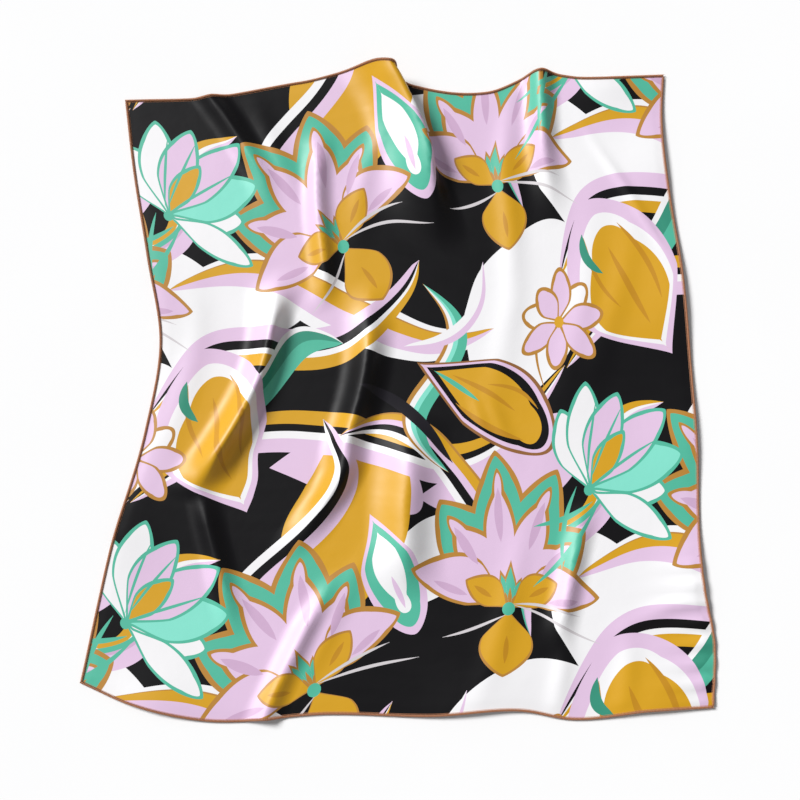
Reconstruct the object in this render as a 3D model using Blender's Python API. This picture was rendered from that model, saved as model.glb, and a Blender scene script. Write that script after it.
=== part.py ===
"""A printed silk square, cut 530 mm a side, laid loosely on a table with its printed face up.

The cloth is one wall. Every weft row of the weave is a curve of the row's own cut length in the
plane across the folds: its slope angle is the sum of the folds that it crosses, and the row is
found by integrating that angle. The four hem tables then say where the cut edge lies on the
table. The frame is metres, +Z up, with the origin on the table under the middle of the cloth.
"""

from collections import namedtuple

import bpy
import numpy as np

CUT = 0.530  # side of the cut square
WALL = 0.001  # the cloth as a wall
HEM_WIDTH = 0.0024  # rolled and overstitched edge, across
HEM_THICK = 0.0020  # and through
HEM_CHAMFER = 0.0005
SEAM_GAP = 0.0003  # between the wall and its hem, and where two hems meet
STEP = 0.001  # spacing of the points at which a row's slope is added up
ROWS = 45  # weft rows of the wall's mesh
# The wall's mesh has so many columns left of the tall pleat, up its left side, down its right
# side, and right of it.
COLUMNS = (22, 10, 10, 22)

# One fold of the cloth, in the cut square: its crest passes through three points (s from the
# left hem, t from the bottom hem). rise and fall are the lengths of cloth on its left and right
# sides, steep is the steepest slope of its left side in degrees, and top_fade and bottom_fade
# are the lengths over which it dies away: 0 where it runs off the hem at its full height.
Fold = namedtuple("Fold", "name top middle bottom rise fall steep top_fade bottom_fade")
FOLDS = (
    Fold("top_pleat", (0.244, 0.530), (0.271, 0.470), (0.278, 0.380), 0.056, 0.032, 42, 0, 0.090),
    Fold("top_left", (0.077, 0.530), (0.106, 0.482), (0.134, 0.410), 0.022, 0.020, 28, 0, 0.070),
    Fold("left_lotus", (0.169, 0.495), (0.175, 0.418), (0.170, 0.325), 0.022, 0.020, 34, 0.05, 0.05),
    Fold("left_diagonal", (0.128, 0.375), (0.103, 0.275), (0.052, 0.172), 0.036, 0.028, 44, 0.06, 0.05),
    Fold("middle", (0.212, 0.355), (0.208, 0.234), (0.158, 0.125), 0.032, 0.028, 38, 0.08, 0.06),
    Fold("middle_right", (0.282, 0.255), (0.277, 0.175), (0.284, 0.090), 0.042, 0.020, 32, 0.06, 0.05),
    Fold("lower_left", (0.050, 0.205), (0.095, 0.133), (0.124, 0.066), 0.020, 0.020, 30, 0.05, 0.05),
    Fold("lower_lotus", (0.208, 0.118), (0.177, 0.059), (0.158, 0.000), 0.022, 0.020, 28, 0.05, 0),
    Fold("top_right", (0.402, 0.530), (0.406, 0.486), (0.400, 0.395), 0.028, 0.026, 36, 0, 0.090),
    Fold("lower_right", (0.428, 0.185), (0.410, 0.110), (0.390, 0.045), 0.022, 0.020, 30, 0.06, 0.05),
)

# Where the cut edge lies on the table: the place along the cut edge, then x and y.
Lie = namedtuple("Lie", "cut x y")
TOP_HEM = (
    Lie(0.000, -0.2318, 0.2439),
    Lie(0.082, -0.1555, 0.2470),
    Lie(0.160, -0.0833, 0.2600),
    Lie(0.243, -0.0085, 0.2715),
    Lie(0.276, 0.0100, 0.2580),
    Lie(0.345, 0.0750, 0.2510),
    Lie(0.402, 0.1196, 0.2680),
    Lie(0.450, 0.1560, 0.2635),
    Lie(0.530, 0.2260, 0.2660),
)
BOTTOM_HEM = (
    Lie(0.000, -0.2558, -0.2418),
    Lie(0.046, -0.2152, -0.2591),
    Lie(0.105, -0.1588, -0.2717),
    Lie(0.212, -0.0546, -0.2669),
    Lie(0.295, 0.0255, -0.2685),
    Lie(0.372, 0.1010, -0.2645),
    Lie(0.411, 0.1377, -0.2709),
    Lie(0.477, 0.2020, -0.2646),
    Lie(0.530, 0.2534, -0.2614),
)
LEFT_HEM = (
    Lie(0.000, -0.2558, -0.2418),
    Lie(0.116, -0.2345, -0.1355),
    Lie(0.224, -0.2083, -0.0374),
    Lie(0.305, -0.1976, 0.0376),
    Lie(0.384, -0.2101, 0.1097),
    Lie(0.464, -0.2235, 0.1828),
    Lie(0.530, -0.2318, 0.2439),
)
RIGHT_HEM = (
    Lie(0.000, 0.2534, -0.2614),
    Lie(0.054, 0.2558, -0.2077),
    Lie(0.095, 0.2488, -0.1677),
    Lie(0.217, 0.2456, -0.0456),
    Lie(0.352, 0.2376, 0.0884),
    Lie(0.499, 0.2236, 0.2352),
    Lie(0.530, 0.2260, 0.2660),
)

STATIONS = np.arange(0.0, CUT + STEP / 2, STEP)
LOBE = np.sin(np.linspace(0.0, np.pi, 61))


def ease(x):
    """0 to 1 as x goes from 0 to 1, with no corner at either end."""
    x = np.clip(x, 0.0, 1.0)
    return x * x * (3.0 - 2.0 * x)


def smooth(knots, values, at):
    """Cubic curve through the values, with the slope at each knot that its neighbours give."""
    knots, values = np.asarray(knots), np.asarray(values)
    slope = np.gradient(values, knots)
    span = np.clip(np.searchsorted(knots, at, side="right") - 1, 0, len(knots) - 2)
    width = knots[span + 1] - knots[span]
    u = (at - knots[span]) / width
    start, end = values[span], values[span + 1]
    start_slope, end_slope = slope[span] * width, slope[span + 1] * width
    return (
        start * (2 * u**3 - 3 * u**2 + 1)
        + end * (3 * u**2 - 2 * u**3)
        + start_slope * (u**3 - 2 * u**2 + u)
        + end_slope * (u**3 - u**2)
    )


def climb(angle):
    """Height gained per length of cloth over one side of a fold whose steepest slope is angle."""
    return np.sin(np.multiply.outer(angle, LOBE)).mean(axis=-1)


STEEPEST = 1.98  # radians: beyond this a side gains no more height
ANGLES = np.linspace(0.0, STEEPEST, 100)
CLIMBS = climb(ANGLES)


def crest(fold, t):
    """Where the fold's crest crosses the weft row at t, on the parabola through its points."""
    s, knots = zip(fold.top, fold.middle, fold.bottom)
    return sum(
        s[i]
        * np.prod([(t - knots[j]) / (knots[i] - knots[j]) for j in range(3) if j != i], axis=0)
        for i in range(3)
    )


def strength(fold, t):
    """How much of its height the fold has at the weft row at t."""
    top = 1.0 if fold.top_fade == 0 else ease((fold.top[1] - t) / fold.top_fade)
    bottom = 1.0 if fold.bottom_fade == 0 else ease((t - fold.bottom[1]) / fold.bottom_fade)
    return top * bottom


def row_shape(t):
    """(x, z) of the weft row at t at every station, starting from the left hem."""
    slope = np.zeros(len(STATIONS))
    for fold in FOLDS:
        rise_angle = np.radians(fold.steep) * strength(fold, t)
        if rise_angle <= 0:
            continue
        needed = climb(rise_angle) * fold.rise / fold.fall
        fall_angle = np.interp(needed, CLIMBS, ANGLES)
        from_crest = STATIONS - crest(fold, t)
        left = (from_crest > -fold.rise) & (from_crest <= 0)
        right = (from_crest > 0) & (from_crest < fold.fall)
        slope[left] += rise_angle * np.sin(-np.pi * from_crest[left] / fold.rise)
        slope[right] -= fall_angle * np.sin(np.pi * from_crest[right] / fold.fall)
    middle = (slope[1:] + slope[:-1]) / 2
    x = np.concatenate([[0.0], np.cumsum(np.cos(middle)) * STEP])
    z = np.concatenate([[0.0], np.cumsum(np.sin(middle)) * STEP])
    # What the integration leaves over goes back along the row, so that both hems lie flat.
    return x, np.maximum(z - z[-1] * STATIONS / CUT, 0.0)


def cross_shift(hem, t):
    """How far the cut edge at t moves from its bare row: smooth between the table's places."""
    knots, x, y = (np.array(column) for column in zip(*hem))
    row_x = np.interp(knots, STATIONS, row_shape(t)[0])
    return smooth(knots, x - row_x, STATIONS), smooth(knots, y - t, STATIONS)


def side_shift(hem, row_ends):
    """The same for a side edge, which has to take up what every row's folds draw in."""
    knots, x, y = (np.array(column) for column in zip(*hem))
    return smooth(knots, x, STATIONS) - row_ends, smooth(knots, y, STATIONS) - STATIONS


SHIFTS = {
    "top": cross_shift(TOP_HEM, CUT),
    "bottom": cross_shift(BOTTOM_HEM, 0.0),
    "left": side_shift(LEFT_HEM, 0.0),
    "right": side_shift(RIGHT_HEM, np.array([row_shape(t)[0][-1] for t in STATIONS])),
}


def blend_hems(s, t, part):
    """The four hems' shifts carried into the cloth, exact on each hem (a Coons patch)."""
    across, along = s / CUT, t / CUT

    def side(name, at):
        return np.interp(at, STATIONS, SHIFTS[name][part])

    corners = (
        (1 - across) * (1 - along) * side("bottom", 0.0)
        + across * (1 - along) * side("bottom", CUT)
        + (1 - across) * along * side("top", 0.0)
        + across * along * side("top", CUT)
    )
    return (
        (1 - along) * side("bottom", s)
        + along * side("top", s)
        + (1 - across) * side("left", t)
        + across * side("right", t)
        - corners
    )


def laid_row(s, t):
    """Points of the cloth's middle surface at the places s of the weft row at t."""
    x, z = row_shape(t)
    return np.stack(
        [
            np.interp(s, STATIONS, x) + blend_hems(s, t, 0),
            t + blend_hems(s, t, 1),
            np.interp(s, STATIONS, z) + WALL / 2,
        ],
        axis=1,
    )


def unit(vectors):
    return vectors / np.linalg.norm(vectors, axis=-1, keepdims=True)


def row_frame(s, t):
    """(points, direction of the row, normal) at the places s of the weft row at t."""
    before, after = np.clip(s - STEP, 0, CUT), np.clip(s + STEP, 0, CUT)
    below, above = max(t - STEP, 0.0), min(t + STEP, CUT)
    along_row = unit(laid_row(after, t) - laid_row(before, t))
    up_column = laid_row(s, above) - laid_row(s, below)
    return laid_row(s, t), along_row, unit(np.cross(along_row, up_column))


def column_places(t):
    """Where the mesh's columns cut the weft row at t. They run along the tall pleat's crest."""
    pleat = FOLDS[0]
    top = crest(pleat, max(t, pleat.bottom[1]))
    bounds = (0.0, top - pleat.rise, top, top + pleat.fall, CUT)
    runs = [np.linspace(a, b, n + 1)[1:] for a, b, n in zip(bounds, bounds[1:], COLUMNS)]
    return np.concatenate([[0.0], *runs])


def wall_triangles(corners, centres):
    """Two triangles a cell, cut along the diagonal that lies closer to the cloth's centre."""
    rows, columns = corners.shape[:2]
    triangles = []
    for i in range(rows - 1):
        for j in range(columns - 1):
            a = i * columns + j
            b, c, d = a + 1, a + columns + 1, a + columns
            rising = (corners[i, j] + corners[i + 1, j + 1]) / 2 - centres[i, j]
            falling = (corners[i, j + 1] + corners[i + 1, j]) / 2 - centres[i, j]
            if np.linalg.norm(rising) <= np.linalg.norm(falling):
                triangles.extend([(a, b, c), (a, c, d)])
            else:
                triangles.extend([(a, b, d), (b, c, d)])
    return triangles


def make_object(name, points, faces, material):
    mesh = bpy.data.meshes.new(name)
    mesh.from_pydata([tuple(p) for p in points], [], faces)
    mesh.validate()
    mesh.shade_smooth()
    mesh.set_sharp_from_angle(angle=np.radians(70))
    mesh.materials.append(material)
    obj = bpy.data.objects.new(name, mesh)
    bpy.context.scene.collection.objects.link(obj)
    return obj


def finish(name, colour, roughness):
    material = bpy.data.materials.new(name)
    material.use_nodes = True
    shader = material.node_tree.nodes["Principled BSDF"]
    shader.inputs["Base Color"].default_value = (*colour, 1.0)
    shader.inputs["Roughness"].default_value = roughness
    material.diffuse_color = (*colour, 1.0)
    return material


def make_panel(material):
    """The printed square: its face, its underside, and the cut edge between them."""
    rows = np.linspace(0.0, CUT, ROWS)
    middle, face, underside = [], [], []
    for t in rows:
        points, _, normal = row_frame(column_places(t), t)
        middle.append(points)
        face.extend(points + normal * WALL / 2)
        underside.extend(points - normal * WALL / 2)
    centres = []
    for t in (rows[1:] + rows[:-1]) / 2:
        s = column_places(t)
        centres.append(laid_row((s[1:] + s[:-1]) / 2, t))
    n, m = ROWS, sum(COLUMNS) + 1
    top_faces = wall_triangles(np.array(middle), np.array(centres))
    faces = top_faces + [tuple(n * m + k for k in reversed(face)) for face in top_faces]
    rim = list(range(m)) + [i * m + m - 1 for i in range(1, n)]
    rim += [(n - 1) * m + j for j in range(m - 2, -1, -1)] + [i * m for i in range(n - 2, 0, -1)]
    for a, b in zip(rim, rim[1:] + rim[:1]):
        faces.append((a, n * m + a, n * m + b, b))
    return make_object("panel", face + underside, faces, material)


def hem_section():
    """(outward, up) corners of a hem's section, from the seam, level with the underside."""
    low, high = -WALL / 2, -WALL / 2 + HEM_THICK
    inner, outer, c = SEAM_GAP, SEAM_GAP + HEM_WIDTH, HEM_CHAMFER
    return (
        (inner, low),
        (outer, low),
        (outer, high - c),
        (outer - c, high),
        (inner, high),
    )


def make_hem(name, points, outward, normal, material):
    """A closed bar of the hem's section along the given edge points."""
    section = hem_section()
    ring = len(section)
    corners = [
        p + out * o + n * u for p, out, n in zip(points, outward, normal) for o, u in section
    ]
    faces = []
    for i in range(len(points) - 1):
        for k in range(ring):
            a, b = i * ring + k, i * ring + (k + 1) % ring
            faces.append((a, a + ring, b + ring, b))
    faces.append(tuple(range(ring)))
    faces.append(tuple(reversed(range((len(points) - 1) * ring, len(points) * ring))))
    obj = make_object(name, corners, faces, material)
    if mesh_volume(obj.data) < 0:
        obj.data.flip_normals()
    return obj


def mesh_volume(mesh):
    """Signed: negative where the faces point inwards."""
    mesh.calc_loop_triangles()
    co = np.array([v.co for v in mesh.vertices])
    a, b, c = (co[[tri.vertices[k] for tri in mesh.loop_triangles]] for k in range(3))
    return (a * np.cross(b, c)).sum() / 6


def make_cross_hem(name, t, side, material):
    """The top or bottom hem. It runs past both corners, over the ends of the side hems."""
    points, along_row, normal = row_frame(column_places(t), t)
    outward = unit(np.cross(normal, along_row)) * side
    reach = SEAM_GAP + HEM_WIDTH
    points = np.concatenate(
        [points[:1] - along_row[:1] * reach, points[1:-1], points[-1:] + along_row[-1:] * reach]
    )
    return make_hem(name, points, outward, normal, material)


def make_side_hem(name, s, side, material):
    """The left or right hem, between the other two. Its ends are parallel to the rows."""
    frames = [row_frame(np.array([s]), t) for t in np.linspace(0.0, CUT, ROWS)]
    points, along_row, normal = (np.concatenate(part) for part in zip(*frames))
    return make_hem(name, points, along_row * side, normal, material)


def main():
    for obj in list(bpy.data.objects):
        bpy.data.objects.remove(obj, do_unlink=True)
    silk = finish("printed_silk", (0.80, 0.55, 0.12), 0.38)
    thread = finish("hem_thread", (0.42, 0.19, 0.07), 0.55)
    make_panel(silk)
    make_cross_hem("hem_top", CUT, 1, thread)
    make_cross_hem("hem_bottom", 0.0, -1, thread)
    make_side_hem("hem_left", 0.0, -1, thread)
    make_side_hem("hem_right", CUT, 1, thread)


main()
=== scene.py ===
# %% [markdown]
# # A printed silk square
#
# This lesson makes one scarf: a square of silk satin, 530 mm a side, with a screen-printed
# pattern of lotus flowers, a narrow rolled hem whipped with copper-brown thread, and the soft
# folds of a light cloth that was dropped on a table. The collision model of the scarf comes
# first, because its box and its outline decide where everything else goes.

from collections import namedtuple

import bpy
import numpy as np
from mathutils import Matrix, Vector
from mathutils.geometry import delaunay_2d_cdt
from mathutils.kdtree import KDTree


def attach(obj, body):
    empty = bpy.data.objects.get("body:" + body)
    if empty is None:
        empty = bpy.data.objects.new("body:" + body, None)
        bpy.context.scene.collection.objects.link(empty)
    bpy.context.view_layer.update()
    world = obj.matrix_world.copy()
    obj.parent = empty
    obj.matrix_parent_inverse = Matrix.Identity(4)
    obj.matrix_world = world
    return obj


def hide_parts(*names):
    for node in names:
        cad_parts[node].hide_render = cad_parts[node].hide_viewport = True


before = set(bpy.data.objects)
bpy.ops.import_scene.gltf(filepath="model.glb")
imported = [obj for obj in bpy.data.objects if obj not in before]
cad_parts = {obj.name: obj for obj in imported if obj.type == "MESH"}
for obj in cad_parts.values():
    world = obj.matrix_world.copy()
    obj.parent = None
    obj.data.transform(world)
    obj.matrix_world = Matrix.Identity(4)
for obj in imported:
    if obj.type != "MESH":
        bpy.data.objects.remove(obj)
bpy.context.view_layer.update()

# %% [markdown]
# ## The cut and the way it lies
#
# On the real scarf every thread keeps its length, and so the cloth can only bend. A sheet mesh
# could be pushed about with noise, but that stretches the print. Here each weft row of the weave
# is a curve of its own cut length: its slope angle is the sum of the folds that it crosses, and
# adding up the cosine and the sine of that angle gives the row's path over the table.

# %% Sizes of the cut
CUT = 0.530  # side of the square
SILK = 0.00030  # thickness of the satin as modelled
CAD_WALL = 0.001
STEP = 0.001  # spacing of the points at which a row's slope is added up
STATIONS = np.arange(0.0, CUT + STEP / 2, STEP)

# %% The folds
# Each crest passes through three places of the cut square. rise and fall are the lengths of
# cloth on its left and right, steep is the steepest slope of its left side in degrees, and the
# fades are the lengths over which it dies away: 0 where it runs off the hem.
Fold = namedtuple("Fold", "name top middle bottom rise fall steep top_fade bottom_fade")
FOLDS = (
    Fold("top_pleat", (0.244, 0.530), (0.271, 0.470), (0.278, 0.380), 0.056, 0.032, 42, 0, 0.090),
    Fold("top_left", (0.077, 0.530), (0.106, 0.482), (0.134, 0.410), 0.022, 0.020, 28, 0, 0.070),
    Fold("left_lotus", (0.169, 0.495), (0.175, 0.418), (0.170, 0.325), 0.022, 0.020, 34, 0.05, 0.05),
    Fold("left_diagonal", (0.128, 0.375), (0.103, 0.275), (0.052, 0.172), 0.036, 0.028, 44, 0.06, 0.05),
    Fold("middle", (0.212, 0.355), (0.208, 0.234), (0.158, 0.125), 0.032, 0.028, 38, 0.08, 0.06),
    Fold("middle_right", (0.266, 0.255), (0.259, 0.175), (0.266, 0.090), 0.040, 0.038, 31, 0.06, 0.05),
    Fold("lower_left", (0.050, 0.205), (0.095, 0.133), (0.124, 0.066), 0.020, 0.020, 30, 0.05, 0.05),
    Fold("lower_lotus", (0.208, 0.118), (0.177, 0.059), (0.158, 0.000), 0.022, 0.020, 28, 0.05, 0),
    Fold("top_right", (0.402, 0.530), (0.406, 0.486), (0.400, 0.395), 0.028, 0.026, 36, 0, 0.090),
    Fold("lower_right", (0.428, 0.185), (0.410, 0.110), (0.390, 0.045), 0.022, 0.020, 30, 0.06, 0.05),
)
print(len(FOLDS), "folds")

# %% Where the cut edge lies on the table
Lie = namedtuple("Lie", "cut x y")
TOP_HEM = (
    Lie(0.000, -0.2318, 0.2439),
    Lie(0.082, -0.1555, 0.2470),
    Lie(0.160, -0.0833, 0.2600),
    Lie(0.243, -0.0085, 0.2715),
    Lie(0.276, 0.0100, 0.2580),
    Lie(0.345, 0.0750, 0.2510),
    Lie(0.402, 0.1196, 0.2680),
    Lie(0.450, 0.1560, 0.2635),
    Lie(0.530, 0.2260, 0.2660),
)
BOTTOM_HEM = (
    Lie(0.000, -0.2558, -0.2418),
    Lie(0.046, -0.2152, -0.2591),
    Lie(0.105, -0.1588, -0.2717),
    Lie(0.212, -0.0546, -0.2669),
    Lie(0.295, 0.0255, -0.2685),
    Lie(0.372, 0.1010, -0.2645),
    Lie(0.411, 0.1377, -0.2709),
    Lie(0.477, 0.2020, -0.2646),
    Lie(0.530, 0.2534, -0.2614),
)
LEFT_HEM = (
    Lie(0.000, -0.2558, -0.2418),
    Lie(0.116, -0.2345, -0.1355),
    Lie(0.224, -0.2083, -0.0374),
    Lie(0.305, -0.1976, 0.0376),
    Lie(0.384, -0.2101, 0.1097),
    Lie(0.464, -0.2235, 0.1828),
    Lie(0.530, -0.2318, 0.2439),
)
RIGHT_HEM = (
    Lie(0.000, 0.2534, -0.2614),
    Lie(0.054, 0.2558, -0.2077),
    Lie(0.095, 0.2488, -0.1677),
    Lie(0.217, 0.2456, -0.0456),
    Lie(0.352, 0.2376, 0.0884),
    Lie(0.499, 0.2236, 0.2352),
    Lie(0.530, 0.2260, 0.2660),
)


# %% Small curve helpers
def ease(x):
    """0 to 1 as x goes from 0 to 1, with no corner at either end."""
    x = np.clip(x, 0.0, 1.0)
    return x * x * (3.0 - 2.0 * x)


def unit(vectors):
    return vectors / np.linalg.norm(vectors, axis=-1, keepdims=True)


def smooth(knots, values, at):
    """Cubic curve through the values, with the slope at each knot that its neighbours give."""
    slope = np.gradient(values, knots)
    span = np.clip(np.searchsorted(knots, at, side="right") - 1, 0, len(knots) - 2)
    width = knots[span + 1] - knots[span]
    u = (at - knots[span]) / width
    start, end = values[span], values[span + 1]
    start_slope, end_slope = slope[span] * width, slope[span + 1] * width
    return (
        start * (2 * u**3 - 3 * u**2 + 1)
        + end * (3 * u**2 - 2 * u**3)
        + start_slope * (u**3 - 2 * u**2 + u)
        + end_slope * (u**3 - u**2)
    )


# %% The shape of one weft row
CRISP = 0.62  # 1 is a round crest; less brings the steepest part nearer to it
LOBE = np.sin(np.pi * np.linspace(0.0, 1.0, 61) ** CRISP)


def climb(angle):
    """Height gained per length of cloth over one side of a fold whose steepest slope is angle."""
    return np.sin(np.multiply.outer(angle, LOBE)).mean(axis=-1)


STEEPEST = 1.98  # radians: beyond this a side gains no more height
ANGLES = np.linspace(0.0, STEEPEST, 100)
CLIMBS = climb(ANGLES)


def crest(fold, t):
    """Where the fold's crest crosses the weft row at t, on the parabola through its points."""
    s, knots = zip(fold.top, fold.middle, fold.bottom)
    return sum(
        s[i]
        * np.prod([(t - knots[j]) / (knots[i] - knots[j]) for j in range(3) if j != i], axis=0)
        for i in range(3)
    )


def strength(fold, t):
    """How much of its height the fold has at the weft row at t."""
    top = 1.0 if fold.top_fade == 0 else ease((fold.top[1] - t) / fold.top_fade)
    bottom = 1.0 if fold.bottom_fade == 0 else ease((t - fold.bottom[1]) / fold.bottom_fade)
    return top * bottom


def row_shape(t):
    """(x, z) of the weft row at t at every station, starting from the left hem."""
    slope = np.zeros(len(STATIONS))
    for fold in FOLDS:
        rise_angle = np.radians(fold.steep) * strength(fold, t)
        if rise_angle <= 0:
            continue
        needed = climb(rise_angle) * fold.rise / fold.fall
        fall_angle = np.interp(needed, CLIMBS, ANGLES)
        from_crest = STATIONS - crest(fold, t)
        left = (from_crest > -fold.rise) & (from_crest <= 0)
        right = (from_crest > 0) & (from_crest < fold.fall)
        slope[left] += rise_angle * np.sin(np.pi * (-from_crest[left] / fold.rise) ** CRISP)
        slope[right] -= fall_angle * np.sin(np.pi * (from_crest[right] / fold.fall) ** CRISP)
    middle = (slope[1:] + slope[:-1]) / 2
    x = np.concatenate([[0.0], np.cumsum(np.cos(middle)) * STEP])
    z = np.concatenate([[0.0], np.cumsum(np.sin(middle)) * STEP])
    return x, np.maximum(z - z[-1] * STATIONS / CUT, 0.0)


# %% [markdown]
# The bare rows make a sheet with straight sides. The real hems wander, and so each hem's shift
# is carried into the cloth with a Coons patch, which is exact along all four edges at once.


# %% The hems pull the rows into place
def cross_shift(hem, row_x, t):
    knots, x, y = (np.array(column) for column in zip(*hem))
    bare = np.interp(knots, STATIONS, row_x)
    return smooth(knots, x - bare, STATIONS), smooth(knots, y - t, STATIONS)


def side_shift(hem, row_ends):
    knots, x, y = (np.array(column) for column in zip(*hem))
    return smooth(knots, x, STATIONS) - row_ends, smooth(knots, y, STATIONS) - STATIONS


rows = [row_shape(t) for t in STATIONS]
bare_x = np.array([x for x, _ in rows])
height = np.array([z for _, z in rows])
top, bottom = cross_shift(TOP_HEM, bare_x[-1], CUT), cross_shift(BOTTOM_HEM, bare_x[0], 0.0)
left, right = side_shift(LEFT_HEM, 0.0), side_shift(RIGHT_HEM, bare_x[:, -1])
across, along = STATIONS[None, :] / CUT, STATIONS[:, None] / CUT


def coons(part):
    corners = (
        (1 - across) * (1 - along) * bottom[part][0]
        + across * (1 - along) * bottom[part][-1]
        + (1 - across) * along * top[part][0]
        + across * along * top[part][-1]
    )
    return (
        (1 - along) * bottom[part][None, :]
        + along * top[part][None, :]
        + (1 - across) * left[part][:, None]
        + across * right[part][:, None]
        - corners
    )


lay = np.stack(
    [bare_x + coons(0), STATIONS[:, None] + coons(1), height + CAD_WALL / 2],
    axis=-1,
)
print("tallest fold", round(float(height.max()) * 1000, 1), "mm")

# %% [markdown]
# ## Small wrinkles
#
# Satin that has been handled keeps faint creases between its folds, and its hem puckers where
# the thread is tight. They are too small to change the outline, so they are added as heights:
# a few short ridges at listed places, a row of puckers along one hem, and a slow unevenness.

# %% Short ridges, hem puckers and unevenness
# Middle of the ridge in the cut, its direction in degrees, then length, width and height.
Ridge = namedtuple("Ridge", "s t turn long wide high")
RIDGES = (
    Ridge(0.478, 0.448, -58, 0.050, 0.008, 0.0012),
    Ridge(0.492, 0.420, -62, 0.045, 0.007, 0.0010),
    Ridge(0.506, 0.392, -55, 0.030, 0.006, 0.0009),
    Ridge(0.340, 0.240, -60, 0.040, 0.010, 0.0014),
    Ridge(0.320, 0.250, -65, 0.030, 0.008, 0.0011),
    Ridge(0.500, 0.085, 18, 0.060, 0.010, 0.0014),
    Ridge(0.135, 0.470, -70, 0.060, 0.014, 0.0020),
    Ridge(0.225, 0.455, 78, 0.080, 0.014, 0.0020),
    Ridge(0.205, 0.075, 68, 0.070, 0.012, 0.0016),
    Ridge(0.360, 0.445, 82, 0.100, 0.016, 0.0022),
    Ridge(0.420, 0.320, 74, 0.120, 0.022, 0.0016),
    Ridge(0.455, 0.330, 66, 0.110, 0.020, 0.0014),
    Ridge(0.345, 0.330, 80, 0.130, 0.020, 0.0014),
    Ridge(0.030, 0.270, 80, 0.110, 0.018, 0.0014),
    Ridge(0.400, 0.035, 85, 0.060, 0.012, 0.0016),
    Ridge(0.455, 0.030, 88, 0.050, 0.014, 0.0014),
    Ridge(0.350, 0.080, 76, 0.090, 0.016, 0.0018),
)
SLOW = ((23.0, 9.0, 0.3), (11.0, 27.0, 1.9), (-17.0, 14.0, 4.1), (31.0, -8.0, 2.6))
SLOW_HEIGHT = 0.0005
PUCKERS = (0.016, 0.0009, 0.030)  # pitch along the right hem, height, reach into the cloth
# Places where the hem doesn't quite touch the table: s, t, reach and height.
LIFTS = (
    (0.530, 0.455, 0.040, 0.0034),
    (0.530, 0.340, 0.046, 0.0042),
    (0.530, 0.225, 0.040, 0.0030),
    (0.530, 0.105, 0.034, 0.0036),
    (0.480, 0.000, 0.034, 0.0030),
    (0.330, 0.000, 0.044, 0.0036),
    (0.065, 0.000, 0.032, 0.0028),
    (0.000, 0.130, 0.036, 0.0026),
    (0.000, 0.345, 0.046, 0.0034),
    (0.475, 0.530, 0.036, 0.0030),
)

s_grid, t_grid = np.meshgrid(STATIONS, STATIONS)
extra = np.zeros_like(s_grid)
for ridge in RIDGES:
    a = np.radians(ridge.turn)
    du, dv = s_grid - ridge.s, t_grid - ridge.t
    lengthwise, crosswise = du * np.cos(a) + dv * np.sin(a), dv * np.cos(a) - du * np.sin(a)
    fade = np.exp(-((lengthwise / ridge.long) ** 2) * 2)
    extra += ridge.high * fade * np.exp(-((crosswise / ridge.wide) ** 2) * 2)
slow = sum(np.sin(a * s_grid + b * t_grid + c) for a, b, c in SLOW) / len(SLOW)
extra += SLOW_HEIGHT * (1 + slow)
pitch, pucker_height, reach = PUCKERS
near_hem = np.exp(-(((CUT - s_grid) / reach) ** 2)) * ease((0.14 - t_grid) / 0.05)
extra += pucker_height * near_hem * (1 + np.sin(2 * np.pi * t_grid / pitch))
edge = ease(np.minimum.reduce([s_grid, t_grid, CUT - s_grid, CUT - t_grid]) / 0.012)
extra *= 0.35 + 0.65 * edge
for s, t, reach, high in LIFTS:
    extra += high * np.exp(-((s_grid - s) ** 2 + (t_grid - t) ** 2) / reach**2)

facing = unit(np.cross(np.gradient(lay, axis=1), np.gradient(lay, axis=0)))
lay = lay + facing * extra[..., None]
facing = unit(np.cross(np.gradient(lay, axis=1), np.gradient(lay, axis=0)))
print("wrinkles up to", round(float(extra.max()) * 1000, 2), "mm")


def on_cloth(grid, s, t):
    """Values of a grid over the cut at the places s, t, between its nearest four points."""
    u, v = np.clip(s / STEP, 0, len(STATIONS) - 1.001), np.clip(t / STEP, 0, len(STATIONS) - 1.001)
    j, i = u.astype(int), v.astype(int)
    a, b = (u - j)[:, None], (v - i)[:, None]
    low = grid[i, j] * (1 - a) + grid[i, j + 1] * a
    high = grid[i + 1, j] * (1 - a) + grid[i + 1, j + 1] * a
    return low * (1 - b) + high * b


# %% [markdown]
# ## The dyes, and three colours of painted light
#
# A silk printer mixes a dye for each screen. Thirteen colours are used here. Two of them are
# painted light and no dye: a darker gold that is painted shade on the gold, and a lighter black
# that is a painted sheen on the black. The mauve is both a printed stripe and painted shade on the
# lilac petals. Each one is a material of its own with a plain base colour on the shader's socket,
# so that the edge between two colours is an edge of the mesh and never a blurred line in a texture.

# %% Dyes
# Written as a printer's swatch reads them, from 0 to 255.
DYES = {
    "gold": (204, 152, 4),
    # painted shade: a darker gold, drawn as streaks where the gold satin falls in shade
    "gold_painted_shade": (186, 131, 2),
    "ochre": (176, 124, 44),
    "brown": (138, 90, 42),
    "lilac": (216, 187, 216),
    # mauve: a thin printed stripe in one ribbon, and painted shade in the streaks on the lilac petals
    "mauve_and_painted_shade": (198, 164, 196),
    "mint": (74, 176, 149),
    "turquoise": (126, 216, 196),
    "pine": (44, 138, 114),
    "black": (10, 9, 12),
    # a lighter black: painted sheen on the black satin
    "black_painted_sheen": (28, 26, 32),
    "white": (233, 232, 234),
    "pearl": (202, 197, 200),
}
DYE_NAMES = list(DYES)


def linear(swatch):
    """A swatch as the light that the shader works in."""
    share = np.array(swatch) / 255
    return tuple(np.where(share <= 0.04045, share / 12.92, ((share + 0.055) / 1.055) ** 2.4))


print(len(DYE_NAMES), "dyes")
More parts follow.
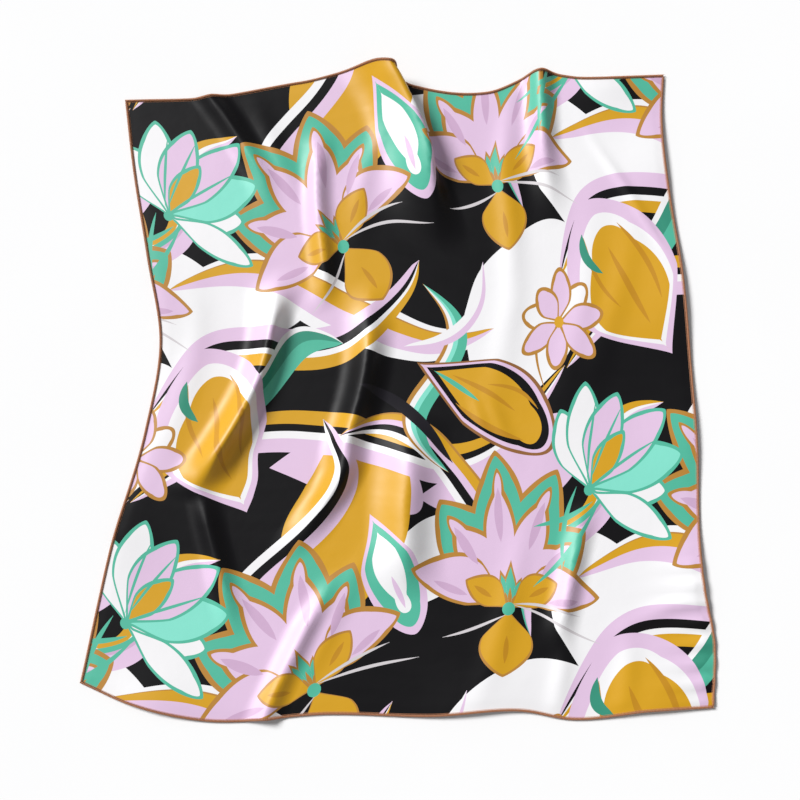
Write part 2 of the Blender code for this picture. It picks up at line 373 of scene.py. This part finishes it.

# %% [markdown]
# ## The print
#
# On the real scarf the pattern is printed dye by dye: flat shapes of one colour with clean edges,
# laid over each other. A picture on the mesh would need an image file, and painting the vertices
# would blur the edges. So the print is drawn here as shapes, in millimetres of the cut, and the
# cloth's mesh is cut along their outlines, so that every edge stays sharp at any size.
#
# The colours, the scale and the kinds of motif are the real scarf's: lotuses in lilac with a
# double border, gold leaves and pods, and ribbons of colour that run between them on black. The
# large motifs also stand roughly where the real ones do, up to about 50 mm away. The outlines are
# not the real ones: each kind of motif is one function of a few sizes. A few shapes are painted
# light and no print: streaks of darker gold and of mauve are painted shade, and a stroke of lighter
# black is a painted sheen.

# %% Shapes of the print
POINT_SPACING = 2.2  # along an outline, in millimetres of the cut
FINEST = 0.35  # the thinnest stroke that prints
BELLY = 1.15  # above 1, a petal is widest past its middle
REPEAT_RIGHT, REPEAT_UP = np.array([400.0, 120.0]), np.array([0.0, 360.0])
drawn = []  # (dye, outline) of every shape, those beneath first


def smooth_path(points):
    """A smooth curve through the given points. A third column is carried along."""
    p = np.asarray(points, float)
    around = [2 * p[0] - p[1], *p, 2 * p[-1] - p[-2]]
    pieces = []
    for a, b, c, d in zip(around, around[1:], around[2:], around[3:]):
        steps = max(2, int(np.ceil(np.linalg.norm((c - b)[:2]) / POINT_SPACING)))
        u = np.linspace(0, 1, steps, endpoint=False)[:, None]
        cubic = (2 * a - 5 * b + 4 * c - d) * u**2 + (3 * b - a - 3 * c + d) * u**3
        pieces.append((2 * b + (c - a) * u + cubic) / 2)
    return np.vstack([*pieces, p[-1:]])


def place(flat, root, turn):
    """Turns an outline by so many degrees and moves it to its root."""
    a = np.radians(turn)
    turned = flat @ np.array([[np.cos(a), np.sin(a)], [-np.sin(a), np.cos(a)]])
    return turned + np.asarray(root, float)


def shape(dye, outline):
    drawn.append((dye, outline))


def band(dye, points):
    """A brush stroke through a few points: x, y and the stroke's width there."""
    path = smooth_path(points)
    half = np.maximum(path[:, 2:3], FINEST) / 2
    direction = unit(np.gradient(path[:, :2], axis=0) + 1e-9)
    side = np.stack([-direction[:, 1], direction[:, 0]], axis=1) * half
    shape(dye, np.vstack([path[:, :2] + side, (path[:, :2] - side)[::-1]]))


def knob(dye, centre, radius):
    """The round heart of a flower."""
    count = max(12, int(2 * np.pi * radius / POINT_SPACING))
    a = np.linspace(0, 2 * np.pi, count, endpoint=False)
    shape(dye, np.stack([radius * np.cos(a), radius * np.sin(a)], axis=1) + centre)


def petal(root, turn, length, width, bend=0.0, inset=0.0, tip=0.8):
    """A petal: it swells from its root, is widest past the middle, and ends in its tip, which is
    pointed at 0.8 and round at 0.5."""
    reach = length - 1.5 * inset
    u = np.sin(np.linspace(0, np.pi / 2, max(9, int(reach / POINT_SPACING * 1.3))))
    swell = np.sin(np.pi * u**BELLY).clip(0) ** tip * np.minimum(1, u / 0.4) ** 0.4
    half = np.maximum(width / 2 * swell - inset * np.minimum(1, 6 * (1 - u)), 0.02)
    x, y = reach * u, bend * length * np.sin(np.pi * u)
    flat = np.vstack([np.stack([x, y + half], 1), np.stack([x, y - half], 1)[-2:0:-1]])
    return place(flat, root, turn)


Petal = namedtuple("Petal", "turn length width bend", defaults=(0.0,))


def bloom(heart, rings, fill, *petals, tip=0.8):
    """Petals about a heart. Each outline is drawn for all of them before the next one in, so
    that neighbours run together inside one border."""
    inset = 0.0
    for dye, width in (*rings, (fill, 0.0)):
        for each in petals:
            shape(dye, petal(heart, *each, inset=inset, tip=tip))
        inset += width


# %% [markdown]
# Ribbons of several colours lie side by side along one swaying line, like combed ink. Working
# them out from their two ends and a sway keeps the stripes of a ribbon parallel.

# %% Ribbons and fields
GROUND = "black"


def flow(start, end, sway, *stripes, bends=1.0):
    """Stripes side by side along a swaying line, thin at both ends. One bend is an S, half a C."""
    start, run = np.array(start, float), np.subtract(end, start).astype(float)
    length = np.hypot(*run)
    side = np.array([-run[1], run[0]]) / length
    u = np.linspace(0, 1, int(length / 8) + 5)[:, None]
    line = start + u * run + side * sway * np.sin(2 * np.pi * bends * u)
    swell = np.sin(np.pi * u).clip(0) ** 0.7
    offset = -sum(width for _, width in stripes) / 2
    for dye, width in stripes:
        band(dye, np.hstack([line + side * (offset + width / 2) * swell, (width + 0.4) * swell]))
        offset += width


def pool(dye, root, turn, length, width, bend=0.0):
    """A broad rounded field of one colour."""
    shape(dye, petal(root, turn, length, width, bend, tip=0.5))


pool("white", (330, 232), 62, 190, 120, 0.10)
pool("white", (96, 196), 150, 120, 74, -0.10)
pool("lilac", (268, 176), 20, 170, 70, -0.08)
pool("white", (430, 22), 96, 130, 92, -0.10)
pool("white", (30, 316), 10, 130, 58, 0.10)
pool("lilac", (128, 206), -14, 150, 62, 0.10)
pool("white", (246, 76), 46, 120, 58, 0.08)
flow((16, 352), (330, 322), 26,
     ("white", 10), ("lilac", 16), ("gold", 13), ("ochre", 1.6), ("white", 6))
flow((390, 150), (500, 250), -18, ("lilac", 10), ("white", 6), ("gold", 9))
pool("gold", (206, 62), 84, 170, 112, 0.06)
flow((6, 160), (404, 282), 42, ("lilac", 13), ("white", 7), ("black", 7), ("gold", 11))
flow((0, 236), (262, 372), 34, ("gold", 12), ("white", 6), ("black", 9), ("lilac", 12))
flow((196, 222), (432, 150), 26,
     ("white", 7), ("black", 8), ("lilac", 7), ("gold", 8), ("ochre", 1.6))
flow((150, 40), (176, 240), 30, ("lilac", 15), ("black", 11), ("white", 8))
flow((296, 200), (262, 352), 24, ("mint", 10), ("turquoise", 5), ("white", 5), ("ochre", 3))
flow((372, 60), (446, 226), 22, ("lilac", 14), ("mauve_and_painted_shade", 3), ("mint", 4))
flow((60, 268), (190, 300), -16, ("mint", 16), ("pine", 12), ("white", 5))
flow((322, 20), (250, -64), 20, ("white", 7), ("lilac", 5), bends=0.5)
# A stroke of lighter black: painted sheen on the black ground.
flow((210, 262), (300, 208), 10, ("black_painted_sheen", 10), bends=0.5)
print(len(drawn), "shapes in the ribbons and fields")

# %% [markdown]
# A leaf, a pod and a teardrop are all one petal with borders of its own: what tells them apart is
# how wide they are, how blunt the tip is, and the colours of the rings.


# %% Leaves, pods and teardrops
def streak(dye, root, turn, start, end, width, aside=0.0):
    """A stroke inside a motif, from start to end along its length. Most are printed lines; those
    in the darker gold and the mauve are painted shade.
    """
    a = np.radians(turn)
    ahead, across = np.array([np.cos(a), np.sin(a)]), np.array([-np.sin(a), np.cos(a)])
    first = np.asarray(root, float) + start * ahead + aside * across
    flow(first, first + (end - start) * ahead, aside * 0.35, (dye, width), bends=0.5)


def leaf(root, turn, length, width):
    bloom(root, (("lilac", 9), ("white", 8)), "gold", Petal(turn, length, width, 0.06), tip=0.62)
    # Streaks of darker gold: painted shade of the satin on the leaf.
    for aside, start, end, wide in ((-0.14, 0.30, 0.80, 5), (0.04, 0.22, 0.72, 6), (0.2, 0.4, 0.84, 4)):
        streak("gold_painted_shade", root, turn, start * length, end * length, wide, aside * width)
    streak("pine", root, turn, 0.62 * length, 0.86 * length, 9, 0.2 * width)


def pod(root, turn, length, width):
    rings = ("brown", 2.4), ("lilac", 3), ("black", 5.5)
    bloom(root, rings, "gold", Petal(turn, length, width, 0.08), tip=0.5)
    # Streaks of darker gold: painted shade of the satin on the pod.
    for aside, start, end, wide in ((-0.12, 0.3, 0.8, 5), (0.16, 0.2, 0.66, 4), (0.3, 0.42, 0.8, 3)):
        streak("gold_painted_shade", root, turn, start * length, end * length, wide, aside * width)
    streak("mint", root, turn, 0.1 * length, 0.42 * length, 4, 0.06 * width)


def teardrop(root, turn, length, width):
    bloom(root, (("lilac", 4.5), ("mint", 8)), "white", Petal(turn, length, width), tip=0.58)
    streak("lilac", root, turn, 0.52 * length, 0.78 * length, 4.5)


leaf((112, 170), 118, 150, 118)
pod((262, 286), -28, 150, 66)
teardrop((226, 158), -62, 104, 50)

# %% [markdown]
# The lotuses carry the pattern. A great lotus is a crown of petals that run together inside one
# border of ochre and mint, with a petal at each side, gold leaves in front and a mint knob.


# %% The great lotuses
CROWN = ((-50, 98, 52, 0.05), (-24, 122, 54, 0.02), (4, 134, 50, 0.0), (32, 112, 56, -0.04))
WINGS = ((-84, 86, 38, 0.14), (66, 92, 42, -0.12))
SEPALS = ((-66, 50, 28, 0.05), (52, 46, 26, -0.06), (176, 56, 46, 0.0))


def great_lotus(heart, turn, size):
    def turned(rows):
        return [Petal(turn + lean, size * long, size * wide, bend) for lean, long, wide, bend in rows]

    crown, wings, sepals = turned(CROWN), turned(WINGS), turned(SEPALS)
    bloom(heart, (("ochre", 3.2), ("mint", 7), ("ochre", 2.6)), "lilac", *crown)
    for wing in wings:
        bloom(heart, (("ochre", 2.8),), "lilac", wing)
    # Mauve streaks on the crown and side petals are painted shade of the satin.
    for each in (*crown, *wings):
        streak("mauve_and_painted_shade", heart, each.turn, 0.42 * each.length, 0.76 * each.length, 0.14 * each.width)
    bloom(heart, (("ochre", 1.4),), "gold", *sepals)
    # Streaks of darker gold on the sepals: painted shade of the satin.
    for each in sepals:
        streak("gold_painted_shade", heart, each.turn, 0.4 * each.length, 0.8 * each.length, 4)
    for lean, reach in ((-98, 66), (-112, 84), (104, 58)):
        streak("pearl", heart, turn + lean, 3, size * reach, 2.2, 4)
    knob("mint", heart, 5.6)


great_lotus((352, 84), 92, 1.0)
great_lotus((196, 20), 128, 1.04)

# %% [markdown]
# The white lotus is drawn the other way about: pale petals with a mint pen line round each, so
# that they stay apart, and stems of the same mint.


# %% The white lotus and the small flower
PALE_PETALS = (
    ("white", -56, 74, 34), ("white", 62, 70, 34), ("turquoise", -36, 92, 40), ("white", 40, 88, 36),
    ("lilac", -12, 96, 38), ("lilac", 18, 84, 36), ("gold", 2, 58, 24), ("white", -82, 88, 28),
)


def white_lotus(heart, turn):
    for lean, reach, sway in ((176, 96, 14), (206, 70, -12), (150, 60, 10)):
        streak("mint", heart, turn + lean, 0, reach, 4, sway)
    for dye, lean, long, wide in PALE_PETALS:
        bloom(heart, (("mint", 2.4),), dye, Petal(turn + lean, long, wide, 0.03), tip=0.7)
    for lean in (-24, 10, 30):
        streak("mint", heart, turn + lean, 8, 74, 2.2, 3)
    knob("mint", heart, 4.6)


FLOWER_PETALS = (
    ("white", 36, 46), ("white", 150, 44), ("lilac", 0, 50), ("lilac", 74, 48),
    ("lilac", 116, 40), ("lilac", 196, 46), ("lilac", 252, 42), ("lilac", 312, 48),
)


def small_flower(middle, turn, size):
    for dye, lean, long in FLOWER_PETALS:
        bloom(middle, (("ochre", 2.4),), dye, Petal(turn + lean, size * long, size * 24), tip=0.55)
    knob("gold", middle, 5)


white_lotus((28, 62), 52)
flow((384, 262), (396, 348), 16, ("ochre", 2.4), bends=0.5)
small_flower((398, 318), 12, 0.96)
print(len(drawn), "shapes in one repeat")

# %% [markdown]
# ## From shapes to mesh
#
# The outlines cross each other in thousands of places. A constrained Delaunay triangulation
# takes them all at once and gives triangles that never straddle an outline. Each triangle then
# takes the dye of the topmost shape over its middle. Most of an outline lies hidden under later
# shapes, so the square is cut twice: the second time only along the lines where two dyes meet.

# %% Every copy of every shape that touches the square
SIDE = CUT * 1000
HEM_INSET = 0.9  # the panel ends this far inside the cut edge, in the heart of the rolled hem
BORDER_SPACING = 2.0

copies = []
steps = [right * REPEAT_RIGHT + up * REPEAT_UP for right in (-1, 0, 1) for up in (-2, -1, 0, 1, 2)]
for dye, outline in drawn:
    for step in steps:
        moved = outline + step
        if (moved.max(axis=0) > 0).all() and (moved.min(axis=0) < SIDE).all():
            copies.append((dye, moved))
print(len(copies), "shapes on the square")


def ring_edges(first, count):
    return [(first + n, first + (n + 1) % count) for n in range(count)]


def dyes_at(places):
    """The dye of the topmost shape over each place."""
    found = np.full(len(places), DYE_NAMES.index(GROUND))
    for dye, outline in copies:
        low, high = outline.min(axis=0), outline.max(axis=0)
        near = np.flatnonzero(((places > low) & (places < high)).all(axis=1))
        start, end = outline, np.roll(outline, -1, axis=0)
        x, y = places[near, 0, None], places[near, 1, None]
        spans = (start[:, 1] > y) != (end[:, 1] > y)
        rise = np.where(end[:, 1] == start[:, 1], 1.0, end[:, 1] - start[:, 1])
        crossing = start[:, 0] + (y - start[:, 1]) / rise * (end[:, 0] - start[:, 0])
        inside = (spans & (crossing > x)).sum(axis=1) % 2 == 1
        found[near[inside]] = DYE_NAMES.index(dye)
    return found


def triangulate(points, edges, merge):
    """Points and triangles that keep every edge, with each triangle's dye."""
    made = delaunay_2d_cdt([Vector(p) for p in points], edges, [], 0, merge)
    places, faces = np.array(made[0], float), np.array(made[2], int)
    middles = places[faces].mean(axis=1)
    low, high = HEM_INSET, SIDE - HEM_INSET
    faces = faces[((middles > low) & (middles < high)).all(axis=1)]
    return places, faces, dyes_at(places[faces].mean(axis=1))


# %% The first cut, along every outline
run = np.arange(HEM_INSET, SIDE - HEM_INSET - BORDER_SPACING / 2, BORDER_SPACING)
low, high = np.full_like(run, HEM_INSET), np.full_like(run, SIDE - HEM_INSET)
back = SIDE - run
sides = (run, low), (high, run), (back, high), (low, back)
border = np.vstack([np.stack(pair, 1) for pair in sides])
points, edges = [*border], ring_edges(0, len(border))
for _, outline in copies:
    edges += ring_edges(len(points), len(outline))
    points += [*outline]
places, faces, dyes = triangulate(points, edges, 0.004)
print("first cut:", len(faces), "triangles")


# %% The second cut, only where two dyes meet
def dye_lines(faces, dyes):
    """Edges whose two triangles have different dyes."""
    sides = np.sort(np.vstack([faces[:, [0, 1]], faces[:, [1, 2]], faces[:, [2, 0]]]), axis=1)
    worn = np.tile(dyes, 3)
    turn = np.lexsort((sides[:, 1], sides[:, 0]))
    sides, worn = sides[turn], worn[turn]
    pair = (sides[1:] == sides[:-1]).all(axis=1) & (worn[1:] != worn[:-1])
    return sides[1:][pair]


LATTICE = 3.8  # spacing of the points inside a dye
lines = dye_lines(faces, dyes)
kept, renamed = np.unique(lines, return_inverse=True)
line_points, lines = places[kept], renamed.reshape(-1, 2)
inside = ((line_points > HEM_INSET) & (line_points < SIDE - HEM_INSET)).all(axis=1)

near_line = KDTree(len(line_points))
for n, (x, y) in enumerate(line_points):
    near_line.insert((x, y, 0), n)
near_line.balance()
ticks = np.arange(LATTICE, SIDE - LATTICE / 2, LATTICE)
lattice = np.array([(x + LATTICE / 2 * (row % 2), y) for row, y in enumerate(ticks) for x in ticks[:-1]])
clear = [near_line.find((x, y, 0))[2] > LATTICE * 0.45 for x, y in lattice]
lattice = lattice[clear]
points = [*border, *line_points, *lattice]
edges = ring_edges(0, len(border)) + [(a + len(border), b + len(border)) for a, b in lines]
places, faces, dyes = triangulate(points, edges, 0.03)
used, faces = np.unique(faces, return_inverse=True)
places, faces = places[used], faces.reshape(-1, 3)
print("second cut:", len(faces), "triangles,", len(places), "points")

# %% [markdown]
# ## The printed panel
#
# The flat triangles are now laid on the folded sheet twice, once for the printed face and once
# for the underside, 0.3 mm apart, with a strip round the edge that joins them. The normals are
# taken from the sheet itself and not from the triangles, because thin triangles would show as
# scratches in the gloss of the satin.

# %% Laying the cut mesh on the sheet
count = len(places)
s, t = places[:, 0] / 1000, places[:, 1] / 1000
middle, outward = on_cloth(lay, s, t), unit(on_cloth(facing, s, t))
front, under = middle + outward * SILK / 2, middle - outward * SILK / 2
sides = np.sort(np.vstack([faces[:, [0, 1]], faces[:, [1, 2]], faces[:, [2, 0]]]), axis=1)
directed = np.vstack([faces[:, [0, 1]], faces[:, [1, 2]], faces[:, [2, 0]]])
_, first, times = np.unique(sides, axis=0, return_index=True, return_counts=True)
rim = directed[first[times == 1]]
rim_dye = np.tile(dyes, 3)[first[times == 1]]
strip = np.stack([rim[:, 1], rim[:, 0], rim[:, 0] + count, rim[:, 1] + count], axis=1)
lowest = float(under[:, 2].min())
print("the underside is", round(lowest * 1000, 2), "mm above the table at its lowest")


def mesh_object(name, points, polygons, materials, wears=None, uv=None):
    """A mesh object from arrays, with one material number for each polygon."""
    mesh = bpy.data.meshes.new(name)
    mesh.from_pydata([tuple(p) for p in points], [], [tuple(map(int, p)) for p in polygons])
    for material in materials:
        mesh.materials.append(material)
    if wears is not None:
        mesh.polygons.foreach_set("material_index", np.asarray(wears, np.int32))
    mesh.polygons.foreach_set("use_smooth", np.ones(len(mesh.polygons), bool))
    if uv is not None:
        corner = np.empty(len(mesh.loops), np.int32)
        mesh.loops.foreach_get("vertex_index", corner)
        layer = mesh.uv_layers.new(name="cut")
        layer.uv.foreach_set("vector", uv[corner].astype(np.float32).ravel())
    mesh.update()
    made = bpy.data.objects.new(name, mesh)
    bpy.context.scene.collection.objects.link(made)
    print(name, "has", len(mesh.polygons), "faces")
    return made


# %% [markdown]
# ## Satin
#
# Silk satin shines because its warp threads float over the weft and lie side by side like brushed
# hair. It is glossy but never a mirror: a lamp in it is a wide soft streak. Three things make
# that here: a middling roughness that varies in faint bars, a bump of fine streaks along the
# threads, and a broader bump of the softest crinkles. The back of the same cloth is duller and
# its print paler, since the dye doesn't quite go through.


# %% Shader maths as Python expressions
class Socket:
    """An output of a shader node. Sums and products of them add the nodes that work them out."""

    def __init__(self, tree, output):
        self.tree, self.output = tree, output

    def node(self, kind, inputs, result=0, **settings):
        return add_node(self.tree, kind, inputs, result, **settings)

    def maths(self, operation, first, second):
        return self.node("ShaderNodeMath", {0: first, 1: second}, operation=operation)

    def __add__(self, other):
        return self.maths("ADD", self, other)

    def __radd__(self, other):
        return self.maths("ADD", other, self)

    def __sub__(self, other):
        return self.maths("SUBTRACT", self, other)

    def __rsub__(self, other):
        return self.maths("SUBTRACT", other, self)

    def __mul__(self, other):
        return self.maths("MULTIPLY", self, other)

    def __rmul__(self, other):
        return self.maths("MULTIPLY", other, self)

    def scaled(self, by):
        """A vector stretched by three numbers."""
        inputs = {0: self, 1: by}
        return self.node("ShaderNodeVectorMath", inputs, operation="MULTIPLY")


def add_node(tree, kind, inputs, result=0, **settings):
    """Adds one node: its settings first, then the values or links of its sockets."""
    node = tree.nodes.new(kind)
    for name, value in settings.items():
        setattr(node, name, value)
    for name, value in inputs.items():
        if isinstance(value, Socket):
            tree.links.new(value.output, node.inputs[name])
        else:
            node.inputs[name].default_value = value
    return Socket(tree, node.outputs[result]) if node.outputs else None


def new_material(name):
    material = bpy.data.materials.new(name)
    material.use_nodes = True
    material.node_tree.nodes.clear()
    return material, material.node_tree


def surface(tree, **inputs):
    """Ends a material in a Principled shader with these values and links."""
    named = {name.replace("_", " "): value for name, value in inputs.items()}
    shader = add_node(tree, "ShaderNodeBsdfPrincipled", named)
    add_node(tree, "ShaderNodeOutputMaterial", {"Surface": shader})


# %% Printed satin
FACE_ROUGHNESS, BACK_ROUGHNESS = 0.47, 0.60
GLOSS, DARK_GLOSS = 0.60, 0.20  # a heavy black paste dulls the silk
BACK_PALENESS = 0.35  # how far the back's dyes have faded towards undyed silk
UNDYED = np.array(linear((244, 241, 238)))


def noise(place, scale, stretch=(1, 1, 1), detail=2.0):
    inputs = {"Vector": place.scaled(stretch), "Scale": scale, "Detail": detail, "Roughness": 0.5}
    return place.node("ShaderNodeTexNoise", inputs)


def satin(name, colour, roughness, gloss):
    material, tree = new_material(name)
    cut = add_node(tree, "ShaderNodeUVMap", {}, uv_map="cut")
    bars = noise(cut, 9.0, (1.0, 4.0, 1.0))
    streaks = noise(cut, 70.0, (1.0, 9.0, 1.0), 1.0)
    crinkles = noise(cut, 16.0, detail=3.0)
    relief = crinkles + streaks * 0.06
    normal = add_node(
        tree, "ShaderNodeBump", {"Strength": 0.5, "Distance": 0.0006, "Height": relief}
    )
    surface(
        tree,
        Base_Color=(*colour, 1.0),
        Roughness=roughness - 0.06 + bars * 0.12,
        Specular_IOR_Level=gloss,
        Normal=normal,
    )
    return material


satins = []
for n in DYE_NAMES:
    gloss = DARK_GLOSS if n in ("black", "black_painted_sheen") else GLOSS
    satins.append(satin(f"{n}_satin", linear(DYES[n]), FACE_ROUGHNESS, gloss))
for n in DYE_NAMES:
    faded = np.array(linear(DYES[n])) * (1 - BACK_PALENESS) + UNDYED * BACK_PALENESS
    satins.append(satin(f"{n}_back", tuple(faded), BACK_ROUGHNESS, DARK_GLOSS))
print(len(satins), "materials for the two sides of the print")

# %% The panel
panel = mesh_object(
    "silk_panel",
    np.vstack([front, under]),
    [*faces, *(faces[:, ::-1] + count), *strip],
    satins,
    [*dyes, *(dyes + len(DYE_NAMES)), *(rim_dye + len(DYE_NAMES))],
    np.tile(places / SIDE, (2, 1)),
)
panel.data.normals_split_custom_set_from_vertices(np.vstack([outward, -outward]).tolist())

# %% [markdown]
# ## The rolled hem
#
# The edge of a fine scarf is rolled into a thin cord and whipped with silk thread. A plain tube
# would pass from far off, but up close the hem is all thread. So there is a core, and round it
# one long thread that winds on once a millimetre, by hand and therefore not quite evenly, with a
# row of small stitches where the needle caught the cloth beside the roll.

# %% Sizes of the hem
CORE_WIDE, CORE_HIGH = 0.0017, 0.0014
THREAD = 0.00034
TURN_PITCH = 0.0011
STITCH = 0.0024
STITCH_GAP, STITCH_RISE = 0.0004, 0.00008  # beside the roll, and up and down at the cloth
STITCH_THICK = THREAD * 0.42
SEAT = CORE_HIGH / 2 + THREAD - CAD_WALL / 2 + 0.00002  # the roll's middle over the sheet's
ROLL_INSET = CORE_WIDE / 2 + THREAD
END_GAP = 0.0003  # from the end of a roll to the end of its side
CORNER_LAP = 0.0004  # the side rolls reach this far under the top and bottom ones
CORE_STEP = 0.0016
# The core is a darker brown than the thread as painted shade: the shadow between the turns.
HEM_COLOUR, CORE_PAINTED_SHADE_COLOUR = (190, 130, 92), (150, 96, 62)


def sweep(path, out, half_wide, half_high, sides):
    """A closed tube along a path. out points from the path towards the tube's own top."""
    along = unit(np.gradient(path, axis=0))
    across = unit(np.cross(along, out))
    up = np.cross(across, along)
    turns = np.linspace(0, 2 * np.pi, sides, endpoint=False)
    ring = across[:, None] * np.cos(turns)[None, :, None] * half_wide
    ring = ring + up[:, None] * np.sin(turns)[None, :, None] * half_high
    points = (path[:, None] + ring).reshape(-1, 3)
    n, k = np.meshgrid(np.arange(len(path) - 1), np.arange(sides), indexing="ij")
    a, b = n * sides + k, n * sides + (k + 1) % sides
    quads = np.stack([a, b, b + sides, a + sides], axis=-1).reshape(-1, 4)
    caps = [list(range(sides))[::-1], [len(points) - sides + k for k in range(sides)]]
    return points, [*quads.tolist(), *caps]


def hem_line(side, start, end, spacing):
    """Points along one side of the cut at the middle of its roll, with the way up and out."""
    run = np.arange(start, end, spacing)
    fixed = np.full_like(run, ROLL_INSET if side in ("bottom", "left") else CUT - ROLL_INSET)
    s, t = (run, fixed) if side in ("top", "bottom") else (fixed, run)
    up = unit(on_cloth(facing, s, t))
    line = on_cloth(lay, s, t) + up * SEAT
    along = unit(np.gradient(line, axis=0))
    outwards = np.cross(along, up) * (1 if side in ("bottom", "right") else -1)
    return run, line, up, unit(outwards)


def join(*pieces):
    """Several (points, polygons, material number) as one."""
    points, polygons, wears, base = [], [], [], 0
    for more, shapes, material in pieces:
        polygons += [[base + n for n in polygon] for polygon in shapes]
        wears += [material] * len(shapes)
        points.append(more)
        base += len(more)
    return np.vstack(points), polygons, wears


# %% The thread's finish
def thread_material(name, colour, roughness):
    material, tree = new_material(name)
    surface(
        tree,
        Base_Color=(*linear(colour), 1.0),
        Roughness=roughness,
        Sheen_Weight=0.2,
        Sheen_Roughness=0.5,
    )
    return material


hem_finishes = [
    thread_material("hem_core_painted_shade", CORE_PAINTED_SHADE_COLOUR, 0.6),
    thread_material("copper_brown_thread", HEM_COLOUR, 0.42),
]

# %% The four hems
PER_TURN = 10
chance = np.random.default_rng(7)


def make_hem(side):
    """One side's roll: its core, the thread that winds round it and the needle's stitches."""
    short = 0.0 if side in ("top", "bottom") else 2 * ROLL_INSET - CORNER_LAP
    start, end = short + END_GAP, CUT - short - END_GAP
    run, line, up, outwards = hem_line(side, start, end, CORE_STEP)
    swell = 1 + 0.05 * np.sin(run * 170 + chance.uniform(0, 6)) * np.sin(run * 61)
    swell = swell[:, None, None]
    core = sweep(line, up, CORE_WIDE / 2 * swell, CORE_HIGH / 2 * swell, 10)

    run, line, up, outwards = hem_line(side, start, end, TURN_PITCH / PER_TURN)
    turns = (run - start) / TURN_PITCH
    knots = np.arange(int(turns[-1]) + 2)
    angle = 2 * np.pi * (turns + np.interp(turns, knots, chance.normal(0, 0.09, len(knots))))
    swell = 1 + np.interp(turns, knots, chance.uniform(-0.07, 0.07, len(knots)))
    wide, high = (CORE_WIDE + THREAD) / 2, (CORE_HIGH + THREAD) / 2
    spoke = outwards * (np.cos(angle) * wide)[:, None] + up * (np.sin(angle) * high)[:, None]
    wound = line + spoke
    half = (THREAD / 2 * swell)[:, None, None]
    thread = sweep(wound, unit(spoke), half, half, 5)

    run, line, up, outwards = hem_line(side, start + 0.002, end - 0.002, STITCH / 8)
    phase = (run - start) / STITCH
    dip = np.abs(np.sin(np.pi * phase)) ** 0.6
    down = SEAT - SILK / 2 - STITCH_RISE * (2 * dip - 1)
    needle = line - outwards * (wide + STITCH_GAP) - up * down[:, None]
    stitches = sweep(needle, up, STITCH_THICK, STITCH_THICK, 5)
    points, polygons, wears = join((*core, 0), (*thread, 1), (*stitches, 1))
    return mesh_object(f"rolled_hem_{side}", points, polygons, hem_finishes, wears)


hems = {side: make_hem(side) for side in ("top", "bottom", "left", "right")}

# %% [markdown]
# ## Which piece stands for which solid

# %% The pieces take their places in the frame
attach(panel, "root")
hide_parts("panel")
for side, hem in hems.items():
    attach(hem, "root")
    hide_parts(f"hem_{side}")

# %% [markdown]
# ## Table, light and camera
#
# A pale table under a large soft lamp from the upper left, with an even light from all round, is
# how a shop shows a scarf: the folds are shaded gently and the satin still catches the lamp.

# %% The table
TABLE_SIDE = 6.0
half = TABLE_SIDE / 2
paper, tree = new_material("table_paper")
on_table = add_node(tree, "ShaderNodeTexCoord", {}, result="Object")
mottle = noise(on_table, 6.0)
tone = add_node(
    tree,
    "ShaderNodeMix",
    {"Factor": mottle, "A": (0.862, 0.862, 0.866, 1), "B": (0.882, 0.882, 0.886, 1)},
    result=2,
    data_type="RGBA",
)
surface(tree, Base_Color=tone, Roughness=0.9, Specular_IOR_Level=0.1)
corners = [(-half, -half, 0), (half, -half, 0), (half, half, 0), (-half, half, 0)]
table = mesh_object("table_top", corners, [(0, 1, 2, 3)], [paper])

# %% The light
# A lamp this far off lights the whole table evenly, and its wide face keeps the shadows soft.
LAMP_SPREAD, LAMP_POWER, LAMP_FROM = 22.0, 4.10, Vector((-1.35, 0.85, 1.40))
SKY_STRENGTH = 0.27

lamp = bpy.data.lights.new("far_softbox", "SUN")
lamp.angle, lamp.energy = np.radians(LAMP_SPREAD), LAMP_POWER
softbox = bpy.data.objects.new("far_softbox", lamp)
softbox.location = LAMP_FROM
softbox.rotation_euler = LAMP_FROM.to_track_quat("Z", "Y").to_euler()
bpy.context.scene.collection.objects.link(softbox)

world = bpy.data.worlds.new("white_studio")
world.use_nodes = True
world.node_tree.nodes["Background"].inputs["Color"].default_value = (1, 1, 1, 1)
world.node_tree.nodes["Background"].inputs["Strength"].default_value = SKY_STRENGTH
bpy.context.scene.world = world
bpy.context.scene.view_settings.view_transform = "Standard"
print("the lamp stands", round(np.degrees(np.arcsin(LAMP_FROM.normalized().z))), "degrees up")

# %% The camera, tilted a little from straight down
TILT, DISTANCE, AIM = np.radians(7.0), 1.10, Vector((0.0015, -0.0125, 0.0))

eye = bpy.data.cameras.new("camera")
eye.lens, eye.sensor_width = 60, 36
camera = bpy.data.objects.new("camera", eye)
camera.rotation_euler = (TILT, 0, 0)
camera.location = AIM + DISTANCE * Vector((0, -np.sin(TILT), np.cos(TILT)))
bpy.context.scene.collection.objects.link(camera)
bpy.context.scene.camera = camera
